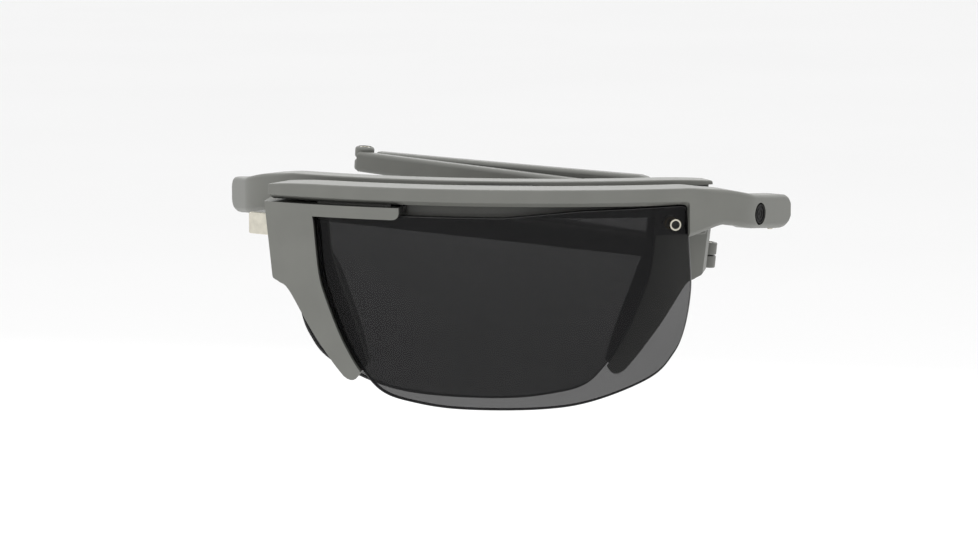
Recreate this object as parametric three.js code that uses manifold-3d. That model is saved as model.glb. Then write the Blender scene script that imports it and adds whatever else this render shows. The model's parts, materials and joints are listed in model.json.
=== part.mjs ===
// Slide-and-fold sport sunglasses, stowed. Two half frames lie one behind the other and slide apart on
// concentric arc rails joined by a carriage in the bridge, and each temple folds at two hinges.
// Millimetres. +X runs to the wearer's left eye's temple, +Y from the front to the back, +Z up.
// The origin is the middle of the left bar's flat top.
import * as THREE from "three";
import { mergeVertices } from "three/addons/utils/BufferGeometryUtils.js";
import Module from "manifold-3d";

const wasm = await Module();
wasm.setup();
const rad = THREE.MathUtils.degToRad;

// ---- driving dimensions ----
const GAP = 0.3; // between pieces that touch
const FINE = 0.15; // between pieces that turn or slide on each other
const ARC_STEP = 2.4; // degrees between the sections of a curved bar

// The two halves: front radius of the brow bar and its depth, how far the half is lifted and turned about
// the arc centre, the depth its nose pad reaches, how far its end's underside is raised, and its temple's
// length to the knuckle, plan angle and slope when folded, and height of the knuckle's parting line.
const LEFT = {
  name: "left",
  mirror: 1,
  radius: 90,
  barDepth: 6.6,
  lift: 0,
  turn: 0,
  nasal: -40.2,
  padReach: 9.3,
  soleRise: 0.5,
  templeLength: 81,
  foldAngle: 157.8,
  foldSlope: 3.8,
  knuckleRise: 0.4,
};
const RIGHT = {
  name: "right",
  mirror: -1,
  radius: 80,
  barDepth: 4.6,
  lift: 0.35,
  turn: -2.5,
  nasal: -41.2,
  padReach: 7.4,
  soleRise: 0,
  templeLength: 82.7,
  foldAngle: 183,
  foldSlope: -5.2,
  knuckleRise: -0.4,
};
const ARC_CENTRE_Y = LEFT.radius - LEFT.barDepth / 2;

// Along each bar's front face, from the middle of its arc.
const BAR = { temple: 33.9, height: 3, face: 2.2, bevel: 1.4, corner: 0.3, nasalDrop: 0.42, dropFrom: -31 };
const LENS = { front: 1.4, back: 3.2 }; // depths behind the bar's front face
const BRACKET = { front: 0.1, lipBack: 1.1, flangeFront: 3.5, back: 5.4 };
const FINGER = { top: -3.45, lower: -4.6, lip: -5.5, end: -15.4 };
const TENON = { near: -30, far: -17, front: 2, back: 4, top: -2.2 };

// The slide: a T-shaped shoe in a T-shaped slot, the same on both bars.
const SLIDE = { centre: 0.4, half: 4, z: -1.35, neck: 0.45, head: 0.75, neckDeep: 0.5, headDeep: 1.7 };

// The end of the bar: it bends towards the ear and ends in the fork of the temple's hinge. Its elbow is a
// curve that ends this far ahead and inward, at this angle, and its profile gives thickness, top and
// underside at lengths beyond the bar.
const END = { reach: 12.63, drop: 2.76, bend: 42.9, handle: 6.9, tail: 3.2, corner: 0.6, skin: 0.8 };
const END_PROFILE = [
  [2.6, 5.6, -0.2, -7.7],
  [5.9, 5, -0.45, -7],
  [7.8, 4.6, -0.72, -7.1],
  [10.4, 4.4, -1.2, -7.6],
  [13.1, 4.4, -1.7, -8.05],
  [17.1, 4.4, -2.15, -8.45],
  [22.9, 4.4, -2.65, -9],
  [24.7, 4.4, -2.9, -8.95],
  [25.5, 4.2, -3.3, -8.6],
  [26, 3.9, -3.9, -8],
];
// The lens groove's rear wall, behind the lens's top.
const LIP = { near: -14.6, front: 3.5, back: 5.6, low: -5.2 };
const SHOULDER = { near: 27, far: 35.5, low: -8.3, back: 6.2 }; // stands behind the lens's outer end
const HINGE = { along: 9.9, depth: 2.36, z: -6.5, lug: 2.1, slot: 1.55, tongue: 1.4, radius: 1.4 };
const PIN = { shaft: 0.5, head: 1, headHeight: 0.5 };

// The temple's two segments, in the hinge's frame: x along it, z along the hinge axis.
const TEMPLE = { start: 2.7, thickness: 2.6, offset: 1.5, tall: 4.8, slim: 3.6 };
const REAR = { length: 57, near: 3.6, far: 6.1, rise: 0.6, flare: 1.6 };
// The knuckle's barrel; the front segment laps past its axis by the cover.
const KNUCKLE = { radius: 1.75, half: 2.2, cover: 0.2 };
const BADGE = { along: 1.6, z: -5.2, radius: 1.6, thickness: 0.5 };
const LENS_SCREW = { x: 31, z: -6.2, head: 1, shaft: 0.6, clear: 0.85, insert: 1.1 };
const TONGUE = { inner: -34.5, outer: -43.8, top: -6.5, bottom: -10.15, front: 5.9, back: 7.3 };

// ---- materials ----
const material = (color, roughness, metalness) =>
  new THREE.MeshStandardMaterial({ color, roughness, metalness });
const greyPlastic = () => material(0x7b7b76, 0.62, 0);
const tintedLens = () =>
  new THREE.MeshStandardMaterial({ color: 0x2a2a2c, roughness: 0.05, transparent: true, opacity: 0.6 });
const padRubber = () => material(0x4a4a48, 0.8, 0);
const steel = () => material(0xb9b7b0, 0.3, 1);
const nickel = () => material(0xdad6c0, 0.35, 0.9);
const brass = () => material(0xb89b55, 0.35, 1);
const nylon = () => material(0x2c2c2c, 0.5, 0);
const badgeBlack = () => material(0x242424, 0.4, 0);

// ---- solids ----
// A closed geometry as a manifold-3d solid.
function solid(geometry) {
  const bare = geometry.clone();
  bare.deleteAttribute("normal");
  bare.deleteAttribute("uv");
  const merged = mergeVertices(bare, 1e-4);
  return new wasm.Manifold(
    new wasm.Mesh({
      numProp: 3,
      vertProperties: merged.attributes.position.array,
      triVerts: new Uint32Array(merged.index.array),
    }),
  );
}

function mesh(name, body, finish) {
  const { vertProperties, triVerts } = body.getMesh();
  const geometry = new THREE.BufferGeometry();
  geometry.setAttribute("position", new THREE.BufferAttribute(new Float32Array(vertProperties), 3));
  geometry.setIndex(new THREE.BufferAttribute(new Uint32Array(triVerts), 1));
  geometry.computeVertexNormals();
  const made = new THREE.Mesh(geometry, finish);
  made.name = name;
  return made;
}

// A closed solid through rings of points, with a flat cap at each end. flat is the ring drawn in 2-D.
function loft(rings, flat) {
  const count = flat.length;
  const index = [];
  for (let i = 0; i < rings.length - 1; i++) {
    for (let j = 0; j < count; j++) {
      const a = i * count + j;
      const b = i * count + ((j + 1) % count);
      index.push(a, b, b + count, a, b + count, a + count);
    }
  }
  const last = (rings.length - 1) * count;
  for (const [a, b, c] of THREE.ShapeUtils.triangulateShape(flat, [])) {
    index.push(c, b, a, a + last, b + last, c + last);
  }
  const geometry = new THREE.BufferGeometry();
  const positions = new Float32Array(rings.flat().flatMap((p) => p.toArray()));
  geometry.setAttribute("position", new THREE.BufferAttribute(positions, 3));
  geometry.setIndex(index);
  return solid(geometry);
}

// A rectangle with cut corners, counter-clockwise, as 2-D points.
function softRectangle(left, right, low, high, corner) {
  return [
    [left + corner, low], [right - corner, low], [right, low + corner], [right, high - corner],
    [right - corner, high], [left + corner, high], [left, high - corner], [left, low + corner],
  ].map(([a, b]) => new THREE.Vector2(a, b));
}

// An outline drawn in the x-z plane, extruded through the whole depth of a half.
function prism(shape, radius) {
  const settings = { depth: radius, bevelEnabled: false, curveSegments: 10 };
  const geometry = new THREE.ExtrudeGeometry(shape, settings);
  geometry.rotateX(Math.PI / 2);
  return solid(geometry);
}

function box(x0, x1, y0, y1, z0, z1) {
  const geometry = new THREE.BoxGeometry(x1 - x0, y1 - y0, z1 - z0);
  geometry.translate((x0 + x1) / 2, (y0 + y1) / 2, (z0 + z1) / 2);
  return solid(geometry);
}

// A cylinder about the z axis.
function disc(radius, z0, z1, sides = 24) {
  const geometry = new THREE.CylinderGeometry(radius, radius, z1 - z0, sides);
  geometry.rotateX(Math.PI / 2);
  geometry.translate(0, 0, (z0 + z1) / 2);
  return solid(geometry);
}

// A screw with its head's top at z = 0 and its shaft pointing down.
function screw(head, headHeight, shaft, length) {
  const profile = [
    [0, -length], [shaft, -length], [shaft, -headHeight], [head, -headHeight],
    [head, -0.1], [head - 0.1, 0], [0, 0],
  ].map(([r, z]) => new THREE.Vector2(r, z));
  const geometry = new THREE.LatheGeometry(profile, 20);
  geometry.rotateX(Math.PI / 2);
  return solid(geometry);
}

// Moves a solid by a matrix.
const moved = (body, matrix) => body.transform(matrix.toArray());

// A frame at a point with its x and z axes given, as a matrix.
function frameAt(point, xAxis, zAxis) {
  const z = zAxis.clone().normalize();
  const x = xAxis.clone().normalize();
  return new THREE.Matrix4().makeBasis(x, z.clone().cross(x), z).setPosition(point);
}

// ---- one half, drawn about its arc centre, as the wearer's left half ----
// A point of the arc at a plan angle from the front, in radians.
const onArc = (radius, angle, z) =>
  new THREE.Vector3(radius * Math.sin(angle), -radius * Math.cos(angle), z);

// A section of (depth, z) points swept along the arc between two lengths measured on the front face.
function arcSweep(radius, section, from, to) {
  const flat = section.map(([depth, z]) => new THREE.Vector2(-depth, z));
  const steps = Math.max(2, Math.ceil(THREE.MathUtils.radToDeg((to - from) / radius) / ARC_STEP));
  const rings = [];
  for (let i = 0; i <= steps; i++) {
    const angle = (to + ((from - to) * i) / steps) / radius;
    rings.push(flat.map((p) => onArc(radius + p.x, angle, p.y)));
  }
  return loft(rings, flat);
}

const band = (front, back, low, high) => [[back, low], [front, low], [front, high], [back, high]];

// Outlines are drawn for the left half's radius and laid along the right half's with the same lengths.
function acrossArc(x, radius) {
  const length = LEFT.radius * Math.asin(x / LEFT.radius);
  return radius * Math.sin(length / radius);
}

const laid = (points, radius) => points.map(([x, z]) => new THREE.Vector2(acrossArc(x, radius), z));

// The lens's edge beside the nose, from the top down.
const NASAL_EDGE = [[-30.5, -6.6], [-29.6, -15.1], [-28.2, -19.8], [-25.4, -26.4], [-22.2, -31.6]];

function lensShape(radius, grow) {
  const inward = ([x, z]) => [x + GAP - grow, z];
  const edge = laid(NASAL_EDGE.map(inward), radius);
  const low = laid([[-18.4, -35], [-13.2, -36.5], [-5, -37.4], [8.6, -37.2], [17.4, -35.8], [26.6, -32.1],
    [30.4, -28.2], [32.2, -24], [33.2, -17.5], [33, -11.5]], radius);
  const [corner, end, dip, top, start] = laid(
    [[32.5, -3.6], [31.3, -2.8 + grow - GAP], [15, -3.7 + grow], [2, -4.9 + grow],
      [-30.6 - grow, -4.9 + grow]], radius);
  const shape = new THREE.Shape();
  shape.moveTo(start.x, start.y);
  shape.lineTo(edge[0].x, edge[0].y);
  shape.splineThru([...edge.slice(1), ...low]);
  shape.lineTo(corner.x, corner.y);
  shape.quadraticCurveTo(corner.x, end.y, end.x, end.y);
  shape.lineTo(dip.x, dip.y);
  shape.lineTo(top.x, top.y);
  return shape;
}

function armShape(radius) {
  const points = laid([[-36.8, -17.1], [-35, -18.4], [-31.1, -24.7], [-27.4, -29.8], [-25.2, -32.4]], radius);
  const edge = laid([...NASAL_EDGE].reverse(), radius);
  const [topLeft, lowLeft, tip, topRight] = laid(
    [[-39.5, FINGER.top], [-38.1, -16.4], [-22.6, -33.6], [-30.5, FINGER.top]], radius);
  const shape = new THREE.Shape();
  shape.moveTo(topLeft.x, topLeft.y);
  shape.lineTo(lowLeft.x, lowLeft.y);
  shape.splineThru(points);
  shape.quadraticCurveTo(tip.x - 0.6, tip.y - 0.4, edge[0].x, edge[0].y);
  shape.splineThru(edge.slice(1));
  shape.lineTo(topRight.x, topRight.y);
  return shape;
}

function flangeShape(radius) {
  const inner = laid(
    [[-28.5, -6.8], [-27.9, -11.8], [-26.2, -16.9], [-24.2, -22.2], [-22.5, -27.3], [-21.5, -30.7]], radius);
  const outer = laid([[-24.2, -31.8], [-28.5, -24], [-31.5, -15], [-32, -6.8]], radius);
  const shape = new THREE.Shape();
  shape.moveTo(outer[3].x, outer[3].y);
  shape.lineTo(inner[0].x, inner[0].y);
  shape.splineThru(inner.slice(1));
  shape.quadraticCurveTo(inner[5].x - 0.3, outer[0].y - 0.5, outer[0].x, outer[0].y);
  shape.splineThru(outer.slice(1));
  return shape;
}

function padShape(radius) {
  const points = laid([[-33.5, -12.5], [-34.2, -16.6], [-31.6, -22.5], [-27.8, -28], [-24.6, -31.6],
    [-22, -31.4], [-22.9, -26], [-25, -20], [-27.6, -13.8], [-30.2, -11.6]], radius);
  return new THREE.Shape(new THREE.SplineCurve([...points, points[0]]).getPoints(40).slice(0, -1));
}

const rectangleShape = (x0, x1, z0, z1, radius) =>
  new THREE.Shape(laid([[x0, z0], [x1, z0], [x1, z1], [x0, z1]], radius));

// A shape cut from the shell between two depths behind the front face.
function shellCut(radius, shape, front, back) {
  const reach = acrossArc(60, LEFT.radius);
  return prism(shape, radius + 5).intersect(arcSweep(radius, band(front, back, -45, 5), -reach, reach));
}

// The elbow in plan from the bar's end: x ahead, y inward. The straight part begins at its end.
const ELBOW = new THREE.CubicBezierCurve(
  new THREE.Vector2(0, 0),
  new THREE.Vector2(END.handle, 0),
  new THREE.Vector2(-END.tail, 0).rotateAround(new THREE.Vector2(), rad(END.bend))
    .add(new THREE.Vector2(END.reach, END.drop)),
  new THREE.Vector2(END.reach, END.drop),
);
const ELBOW_END = BAR.temple + ELBOW.getLength();

const inwardOf = (ahead) => new THREE.Vector3(-ahead.y, ahead.x, 0);

// A place on the front face's path, by its length from the middle of the arc: its point and direction. The
// path is the arc up to the bar's end, then the elbow's curve, then straight.
function placeAt(radius, length) {
  const angle = Math.min(length, BAR.temple) / radius;
  const start = onArc(radius, angle, 0);
  const along = new THREE.Vector3(Math.cos(angle), Math.sin(angle), 0);
  if (length <= BAR.temple) return { point: start, ahead: along };
  const u = Math.min(1, (length - BAR.temple) / ELBOW.getLength());
  const tangent = ELBOW.getTangentAt(u);
  const local = ELBOW.getPointAt(u).addScaledVector(tangent, Math.max(0, length - ELBOW_END));
  const inPlan = (v) => along.clone().multiplyScalar(v.x).addScaledVector(inwardOf(along), v.y);
  return { point: start.add(inPlan(local)), ahead: inPlan(tangent) };
}

// The bar's section at a length: rounded corners, and a slope of a given depth and height under the front.
function barRing(radius, length, { thick, top, low, corner, slopeDepth, slopeHeight }) {
  const { point, ahead } = placeAt(radius, length);
  const section = [
    [slopeDepth, low],
    [thick - corner, low],
    [thick, low + corner],
    [thick, top - corner],
    [thick - corner, top],
    [corner, top],
    [0, top - corner],
    [0, low + slopeHeight],
  ];
  return section.map(([depth, z]) => point.clone().addScaledVector(inwardOf(ahead), depth).setZ(z));
}

// The bar and its bent end as one body. Its underside drops in a small fillet where the end begins.
function barBody(half) {
  const { radius, barDepth } = half;
  const slope = { corner: BAR.corner, slopeDepth: BAR.bevel, slopeHeight: BAR.height - BAR.face };
  const plain = { thick: barDepth, top: 0, low: -BAR.height, ...slope };
  const rings = [];
  const steps = Math.ceil(THREE.MathUtils.radToDeg((BAR.temple - half.nasal) / radius) / ARC_STEP);
  for (let i = 0; i < steps; i++) {
    const length = THREE.MathUtils.lerp(half.nasal, BAR.temple - 0.6, i / (steps - 1));
    const drop = Math.max(0, (BAR.dropFrom - length) / (BAR.dropFrom - half.nasal)) ** 2;
    rings.push(barRing(radius, length, { ...plain, top: -BAR.nasalDrop * drop }));
  }
  rings.push(barRing(radius, BAR.temple - 0.25, { ...plain, low: -BAR.height - 0.15 }));
  rings.push(barRing(radius, BAR.temple - 0.05, { ...plain, low: -BAR.height - 0.6 }));
  const round = { corner: END.corner, slopeDepth: END.corner, slopeHeight: END.corner };
  rings.push(barRing(radius, BAR.temple, { ...plain, ...round, low: SHOULDER.low }));
  for (const [beyond, thick, top, low] of smoothed([[0, barDepth, 0, SHOULDER.low], ...END_PROFILE])) {
    if (beyond > 0) {
      const raise = half.soleRise * Math.min(1, beyond / END_PROFILE[1][0]);
      rings.push(barRing(radius, BAR.temple + beyond, { ...round, thick, top, low: low + raise }));
    }
  }
  const flat = barRing(radius, 0, plain).map((p) => new THREE.Vector2(p.y, p.z));
  return loft(rings, flat);
}

// Rows of numbers with a smooth row added in the middle of each interval.
function smoothed(rows) {
  const result = [rows[0]];
  for (let i = 1; i < rows.length; i++) {
    const before = rows[Math.max(0, i - 2)];
    const after = rows[Math.min(rows.length - 1, i + 1)];
    const middle = rows[i].map((v, j) => (9 * (v + rows[i - 1][j]) - before[j] - after[j]) / 16);
    middle[0] = (rows[i][0] + rows[i - 1][0]) / 2;
    result.push(middle, rows[i]);
  }
  return result;
}

// The hinge's frame at the end of the bar, and the temple's frame when folded.
function hingeFrames(half) {
  const { point, ahead } = placeAt(half.radius, ELBOW_END + HINGE.along);
  const at = point.addScaledVector(inwardOf(ahead), HINGE.depth).setZ(HINGE.z);
  const slope = rad(half.foldSlope);
  const plan = rad(half.foldAngle);
  const level = Math.cos(slope);
  const folded = new THREE.Vector3(Math.cos(plan) * level, Math.sin(plan) * level, Math.sin(slope));
  const axis = ahead.clone().cross(folded).normalize();
  return { fork: frameAt(at, ahead, axis), temple: frameAt(at, folded, axis) };
}

function forkCuts(half) {
  const { fork, temple } = hingeFrames(half);
  const folded = box(TEMPLE.start - GAP, 30, -2, 2.3, -3, 3);
  const behindSkin = END.skin - HINGE.depth;
  const beyond = box(0, 8, behindSkin, 8, -8, 8).subtract(disc(HINGE.lug, -8, 8));
  const slot = box(-3.2, 8, behindSkin, 8, -HINGE.slot, HINGE.slot);
  const bore = disc(PIN.shaft + FINE, -8, 8, 16).add(disc(PIN.head + FINE, 2.2, 8, 20));
  return moved(beyond.add(slot).add(bore), fork).add(moved(folded, temple));
}

function badgeFrame(half) {
  const { point, ahead } = placeAt(half.radius, ELBOW_END + BADGE.along);
  return frameAt(point.setZ(BADGE.z), ahead, inwardOf(ahead).negate());
}

// The slot for the sliding shoe, open at the nasal end. Its groove is in the bar's back on the left half
// and in its front on the right half.
function slideSlot(half) {
  const inBack = half === LEFT;
  const face = inBack ? half.barDepth : 0;
  const into = inBack ? -1 : 1;
  const depths = (from, to) => [face + into * from, face + into * to].sort((a, b) => a - b);
  const stop = rad(half.mirror * SLIDE.centre + SLIDE.half + 0.5 + half.turn) * half.radius;
  const z = SLIDE.z - half.lift;
  const groove = (from, to, reach) => {
    const [front, back] = depths(from, to);
    return arcSweep(half.radius, band(front, back, z - reach, z + reach), half.nasal - 2, stop);
  };
  return groove(-1, SLIDE.neckDeep, SLIDE.neck + 0.2).add(
    groove(SLIDE.neckDeep - 0.05, SLIDE.headDeep + GAP, SLIDE.head + 0.2),
  );
}

function browBar(half) {
  const { radius } = half;
  const block = rectangleShape(SHOULDER.near, SHOULDER.far, SHOULDER.low, -2.8, radius);
  const wall = rectangleShape(LIP.near, SHOULDER.near + 1, LIP.low, -2.5, radius);
  const lensRoom = shellCut(radius, lensShape(radius, GAP), -1, LENS.back + GAP);
  const tenonShape = rectangleShape(TENON.near - GAP, TENON.far + GAP, -4, TENON.top + GAP, radius);
  const pocket = shellCut(radius, tenonShape, TENON.front - GAP, TENON.back + GAP);
  const insert = moved(disc(LENS_SCREW.insert + GAP, -1, 8), lensScrewFrame(half));
  const body = barBody(half)
    .add(shellCut(radius, block, LENS.back + GAP, SHOULDER.back))
    .add(shellCut(radius, wall, LIP.front, Math.min(LIP.back, half.barDepth - 0.2)))
    .subtract(forkCuts(half))
    .subtract(slideSlot(half))
    .subtract(pocket)
    .subtract(insert)
    .subtract(lensRoom);
  if (half !== LEFT) return body;
  return body.subtract(moved(disc(BADGE.radius + GAP, -BADGE.thickness - GAP, 5), badgeFrame(half)));
}

// The lens screw's frame: its z axis points from the screw's tip to the lens's back, out through the front.
function lensScrewFrame(half) {
  const x = acrossArc(LENS_SCREW.x, half.radius);
  const angle = Math.asin(x / half.radius);
  const outward = onArc(1, angle, 0);
  const seat = onArc(half.radius - SHOULDER.back, angle, LENS_SCREW.z);
  return frameAt(seat, new THREE.Vector3(0, 0, 1), outward);
}

function lens(half) {
  const body = shellCut(half.radius, lensShape(half.radius, 0), LENS.front, LENS.back);
  return body.subtract(moved(disc(LENS_SCREW.clear, -2, 12), lensScrewFrame(half)));
}

function noseBracket(half) {
  const { radius } = half;
  const arm = shellCut(radius, armShape(radius), BRACKET.front, BRACKET.back);
  const upper = rectangleShape(-31, FINGER.end, FINGER.lower, FINGER.top, radius);
  const lip = rectangleShape(-31, FINGER.end, FINGER.lip, FINGER.top, radius);
  const tenon = rectangleShape(TENON.near, TENON.far, FINGER.top - 0.5, TENON.top, radius);
  const room = shellCut(radius, lensShape(radius, GAP), -1, BRACKET.flangeFront);
  let body = arm.add(shellCut(radius, upper, BRACKET.front, BRACKET.back));
  body = body.add(shellCut(radius, flangeShape(radius), BRACKET.flangeFront, BRACKET.back));
  body = body.subtract(room);
  body = body.add(shellCut(radius, lip, BRACKET.front, BRACKET.lipBack));
  return body.add(shellCut(radius, tenon, TENON.front, TENON.back));
}

const nosePad = (half) => shellCut(half.radius, padShape(half.radius), BRACKET.back + GAP, half.padReach);

function lensScrew(half) {
  const headTop = SHOULDER.back - LENS.front + 0.6;
  const length = headTop - 0.8;
  const lift = new THREE.Matrix4().makeTranslation(0, 0, headTop);
  return moved(moved(screw(LENS_SCREW.head, 0.55, LENS_SCREW.shaft, length), lift), lensScrewFrame(half));
}

function lensInsert(half) {
  const length = SHOULDER.back - LENS.back - GAP;
  const tube = disc(LENS_SCREW.insert, 0.2, length - 0.1).subtract(disc(LENS_SCREW.shaft + FINE, -1, 9, 16));
  return moved(tube, lensScrewFrame(half));
}

// ---- the temple, in the hinge's frame, folded ----
// A section across the temple at x, between two y values, of a given height about a centre.
const templeRing = (x, y0, y1, height, z, corner = 0.5) =>
  softRectangle(y0, y1, z - height / 2, z + height / 2, corner).map((p) => new THREE.Vector3(x, p.x, p.y));

const templeFlat = softRectangle(0, TEMPLE.thickness, 0, TEMPLE.tall, 0.5);

function templeFront(half) {
  const half2 = TEMPLE.thickness / 2;
  const end = half.templeLength + KNUCKLE.cover;
  const ring = (x, centre, height) => templeRing(x, centre - half2, centre + half2, height, 0);
  const body = loft([
    ring(TEMPLE.start, 0.6, 3.6),
    ring(TEMPLE.start + 1, 0.65, TEMPLE.tall),
    ring(8, 1.1, TEMPLE.tall),
    ring(14, TEMPLE.offset, TEMPLE.tall - 0.1),
    ring(end, TEMPLE.offset, TEMPLE.slim),
  ], templeFlat);
  const z = half.knuckleRise;
  const barrel = disc(KNUCKLE.radius, z + 0.08, z + KNUCKLE.half);
  const sweep = disc(KNUCKLE.radius + FINE, -5, z + 0.08, 32);
  const tongue = disc(HINGE.radius, -HINGE.tongue, HINGE.tongue).add(
    box(0, TEMPLE.start + 1, -0.6, 1.4, -HINGE.tongue, HINGE.tongue));
  const shift = new THREE.Matrix4().makeTranslation(half.templeLength, 0, 0);
  const bore = disc(PIN.shaft + FINE, -5, 5, 16);
  return body.add(tongue).subtract(moved(sweep, shift)).add(moved(barrel, shift))
    .subtract(bore).subtract(moved(bore, shift))
    .subtract(moved(disc(PIN.head + FINE, z + KNUCKLE.half - 0.7, 9, 20), shift));
}

// The rear segment's outer face at a length along the temple.
function rearFace(half, x) {
  const near = half.templeLength - KNUCKLE.radius - GAP;
  return -0.2 - REAR.flare * ((near - x) / REAR.length) ** 2;
}

function templeRear(half) {
  const near = half.templeLength - KNUCKLE.radius - GAP;
  const tip = half.templeLength - REAR.length;
  const ring = (x, height, centre) => {
    const outer = rearFace(half, x);
    return templeRing(x, outer - TEMPLE.thickness, outer, height, centre);
  };
  const rings = [
    ring(tip, REAR.far - 2.6, REAR.rise - 0.1),
    ring(tip + 0.8, REAR.far - 1, REAR.rise - 0.05),
    ring(tip + 2.6, REAR.far, REAR.rise),
  ];
  for (let i = 1; i <= 5; i++) {
    const x = THREE.MathUtils.lerp(tip + 2.6, near, i / 5);
    rings.push(ring(x, THREE.MathUtils.lerp(REAR.far, REAR.near, i / 5), REAR.rise * (1 - i / 5)));
  }
  const z = half.knuckleRise;
  const barrel = disc(KNUCKLE.radius, z - KNUCKLE.half, z - 0.08);
  const web = box(near - 1, half.templeLength, -1.7, -0.3, z - 1.9, z - 0.08);
  const shift = new THREE.Matrix4().makeTranslation(half.templeLength, 0, 0);
  return loft(rings, templeFlat)
    .add(moved(barrel, shift))
    .add(web)
    .subtract(moved(disc(PIN.shaft + FINE, -5, 5, 16), shift))
    .subtract(gripBand(half, GAP, 1));
}

// The rubber strip let into the rear segment's inner side, and the room for it.
function gripBand(half, grow, behind) {
  const tip = half.templeLength - REAR.length;
  const rings = [];
  for (let i = 0; i <= 4; i++) {
    const x = THREE.MathUtils.lerp(tip + 5 - grow, tip + 32 + grow, i / 4);
    const face = rearFace(half, x) - TEMPLE.thickness;
    const centre = REAR.rise * (1 - (x - tip) / REAR.length);
    rings.push(templeRing(x, face - 0.3 - behind, face + 0.5 + grow, 2.6 + 2 * grow, centre, 0.2));
  }
  return loft(rings, templeFlat);
}

const hingeScrew = () => {
  const lift = new THREE.Matrix4().makeTranslation(0, 0, 2.9);
  return moved(screw(PIN.head, PIN.headHeight, PIN.shaft, 5.2), lift);
};

function knuckleScrew(half) {
  const top = half.knuckleRise + KNUCKLE.half - 0.1;
  const lift = new THREE.Matrix4().makeTranslation(half.templeLength, 0, top);
  return moved(screw(PIN.head, PIN.headHeight, PIN.shaft, 2 * KNUCKLE.half - 0.3), lift);
}

// ---- the slide's carriage, drawn about the arc centre ----
function carriageBand(front, back, halfHeight, halfAngle) {
  const reach = rad(halfAngle) * LEFT.radius;
  const middle = rad(SLIDE.centre) * LEFT.radius;
  const low = SLIDE.z - halfHeight;
  return arcSweep(LEFT.radius, band(front, back, low, SLIDE.z + halfHeight), middle - reach, middle + reach);
}

const RAIL_FACE = { left: LEFT.barDepth, right: LEFT.radius - RIGHT.radius };

function carriage() {
  const body = carriageBand(RAIL_FACE.left + GAP, RAIL_FACE.right - GAP, 1.1, SLIDE.half);
  const sockets = carriageBand(0, 1.1 + RAIL_FACE.left, 0.45 + GAP, SLIDE.half - 0.8)
    .add(carriageBand(RAIL_FACE.right - 1.1, RAIL_FACE.right + 5, 0.45 + GAP, SLIDE.half - 0.8));
  return body.subtract(sockets);
}

function shoe(face, into) {
  const inSocket = face - into * (1.1 - GAP);
  const depths = (a, b) => [a, b].sort((m, n) => m - n);
  const headStart = face + into * (SLIDE.neckDeep + FINE);
  const headEnd = face + into * SLIDE.headDeep;
  return carriageBand(...depths(inSocket, headStart + into * 0.05), SLIDE.neck, SLIDE.half - 1)
    .add(carriageBand(...depths(headStart, headEnd), SLIDE.head, SLIDE.half - 1));
}

// ---- the assembly ----
function addTemple(group, half) {
  const { temple } = hingeFrames(half);
  const holder = new THREE.Group();
  temple.decompose(holder.position, holder.quaternion, holder.scale);
  holder.add(
    mesh(`${half.name}_temple_front`, templeFront(half), greyPlastic()),
    mesh(`${half.name}_temple_rear`, templeRear(half), greyPlastic()),
    mesh(`${half.name}_temple_grip`, gripBand(half, 0, 0), padRubber()),
    mesh(`${half.name}_knuckle_screw`, knuckleScrew(half), steel()),
  );
  group.add(holder);
}

function buildHalf(half) {
  const group = new THREE.Group();
  const { fork } = hingeFrames(half);
  group.add(
    mesh(`${half.name}_brow_bar`, browBar(half), greyPlastic()),
    mesh(`${half.name}_nose_bracket`, noseBracket(half), greyPlastic()),
    mesh(`${half.name}_nose_pad`, nosePad(half), padRubber()),
    mesh(`${half.name}_lens`, lens(half), tintedLens()),
    mesh(`${half.name}_lens_screw`, lensScrew(half), steel()),
    mesh(`${half.name}_lens_insert`, lensInsert(half), brass()),
    mesh(`${half.name}_hinge_screw`, moved(hingeScrew(), fork), steel()),
  );
  addTemple(group, half);
  group.scale.x = half.mirror;
  group.rotation.z = rad(half.turn);
  group.position.set(0, ARC_CENTRE_Y, half.lift);
  return group;
}

function latchTongue() {
  const shape = new THREE.Shape(softRectangle(TONGUE.outer, TONGUE.inner, TONGUE.bottom, TONGUE.top, 0.4));
  return shellCut(LEFT.radius, shape, TONGUE.front, TONGUE.back);
}

const glasses = new THREE.Group();
const left = buildHalf(LEFT);
left.add(
  mesh("left_badge", moved(disc(BADGE.radius, -BADGE.thickness, 0, 32), badgeFrame(LEFT)), badgeBlack()),
  mesh("latch_tongue", latchTongue(), nickel()),
);
const bridge = new THREE.Group();
bridge.position.y = ARC_CENTRE_Y;
bridge.add(
  mesh("bridge_carriage", carriage(), nylon()),
  mesh("left_slide_shoe", shoe(RAIL_FACE.left, -1), nylon()),
  mesh("right_slide_shoe", shoe(RAIL_FACE.right, 1), nylon()),
);
glasses.add(left, buildHalf(RIGHT), bridge);

export default glasses;
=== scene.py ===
"""The looks of a pair of slide-and-fold sunglasses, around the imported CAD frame. Metres, +Z up."""
import bisect
import json
import math

import bmesh
import bpy
from mathutils import Matrix, Vector


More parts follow.
